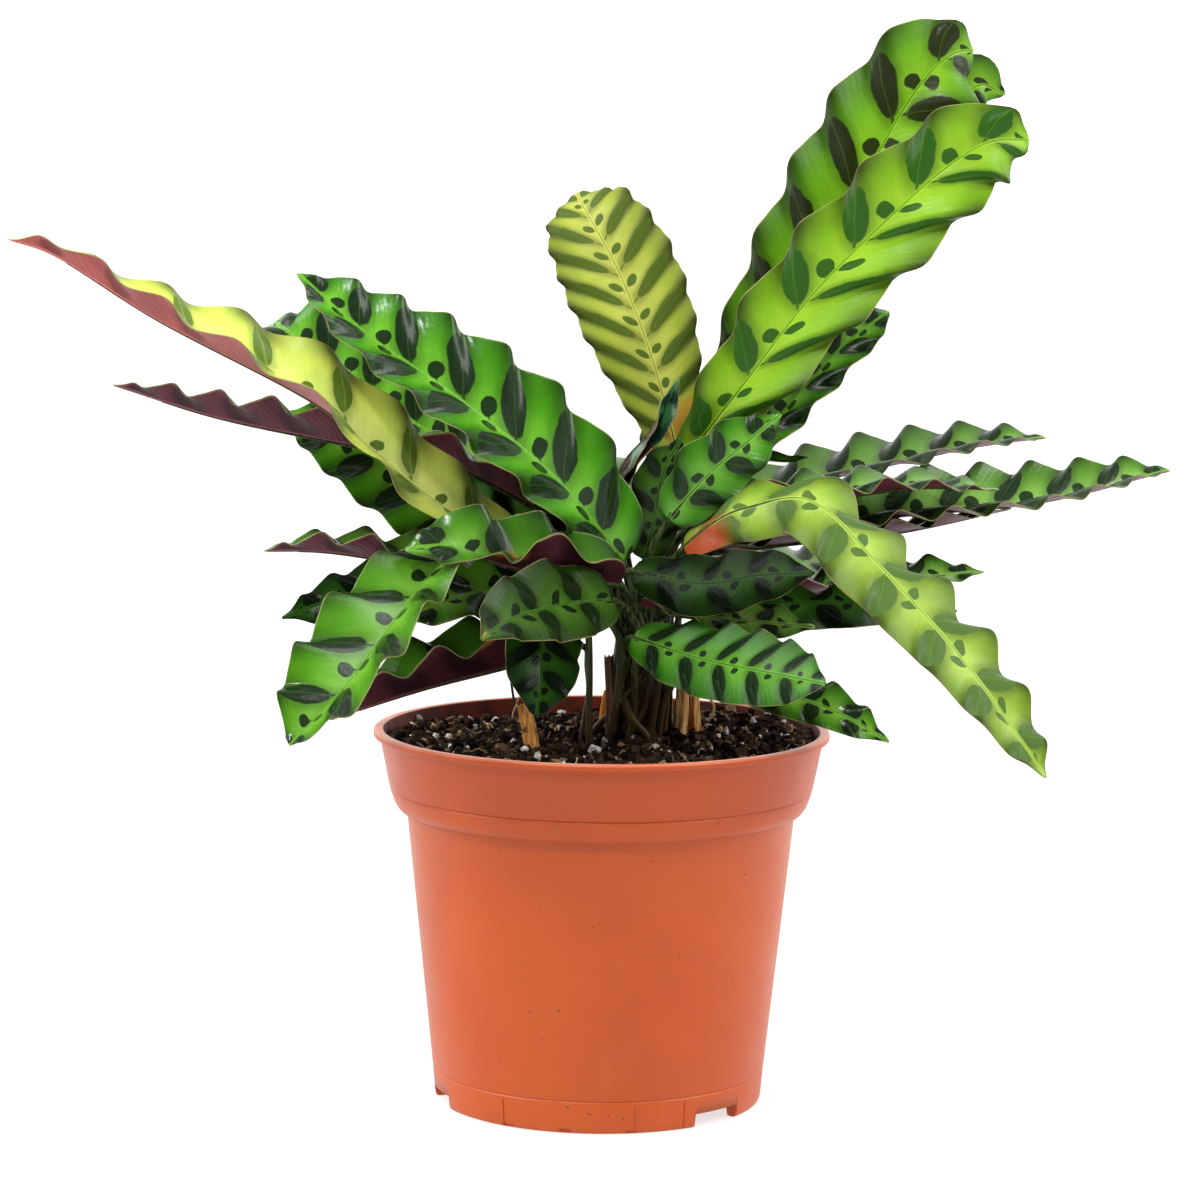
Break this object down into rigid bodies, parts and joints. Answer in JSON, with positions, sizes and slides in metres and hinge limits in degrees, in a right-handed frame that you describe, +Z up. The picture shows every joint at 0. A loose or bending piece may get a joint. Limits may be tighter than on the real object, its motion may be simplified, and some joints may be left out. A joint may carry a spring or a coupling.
{
  "type": "potted calathea",
  "caption": "Rattlesnake-pattern calathea with arching, wavy-edged oval-spotted leaves, growing from dark soil in a plain terracotta-coloured plastic nursery pot.",
  "frame": {"origin": "on the floor, under the middle of the plant's box, which is the pot's centre to about a millimetre", "axes": "+X to the right in the picture's view, +Y away from the viewer to the back, +Z up"},
  "size_m": [0.3026, 0.1639, 0.2856],
  "materials": {
    "pot_plastic": "satin",
    "soil": "matte",
    "leaf_mature": "satin",
    "leaf_fresh": "satin",
    "leaf_young": "satin",
    "leaf_shaded": "satin",
    "dried_stalk": "matte",
    "dead_sheath": "matte",
    "new_shoot": "satin"
  },
  "bodies": {
    "root": {"pot": "pot_plastic", "soil": "soil", "leaf_far_left_pale": "leaf_young", "leaf_left_purple": "leaf_mature", "leaf_left_back_green": "leaf_mature", "leaf_left_back_low": "leaf_mature", "leaf_left_big": "leaf_mature", "leaf_left_mid_front": "leaf_mature", "leaf_left_small_tip": "leaf_mature", "leaf_front_left_big": "leaf_mature", "leaf_left_small_dark": "leaf_mature", "leaf_left_mid_behind": "leaf_mature", "leaf_left_low": "leaf_mature", "leaf_front_centre_left": "leaf_mature", "leaf_front_centre_low": "leaf_mature", "leaf_centre_pale": "leaf_young", "leaf_centre_small": "leaf_mature", "leaf_centre_narrow": "leaf_mature", "leaf_centre_dark": "leaf_shaded", "leaf_centre_right_glossy": "leaf_mature", "leaf_centre_curl": "leaf_shaded", "leaf_centre_right_small": "leaf_shaded", "leaf_right_back_tall": "leaf_fresh", "leaf_right_back_tall_behind": "leaf_mature", "leaf_right_front_tall": "leaf_young", "leaf_right_dark_mid": "leaf_mature", "leaf_right_long_1": "leaf_mature", "leaf_right_long_2": "leaf_mature", "leaf_right_long_3": "leaf_mature", "leaf_right_long_4": "leaf_mature", "leaf_right_pale_front": "leaf_young", "leaf_right_mid_back": "leaf_mature", "leaf_right_low_back": "leaf_shaded", "leaf_right_low_light": "leaf_mature", "leaf_front_right_low": "leaf_mature", "leaf_right_low_small": "leaf_mature", "leaf_back_left_high": "leaf_mature", "leaf_back_left_low": "leaf_mature", "leaf_back_behind_big": "leaf_mature", "leaf_back_middle": "leaf_mature", "leaf_back_right_middle": "leaf_mature", "leaf_back_right_high": "leaf_mature", "leaf_back_right_low": "leaf_mature", "leaf_back_upright": "leaf_mature", "leaf_back_left_upright": "leaf_mature", "dried_stub_left": "dried_stalk", "dried_stub_right": "dried_stalk", "dried_stub_back": "dried_stalk", "dead_sheath": "dead_sheath", "new_shoot": "new_shoot"}
  },
  "joints": []
}
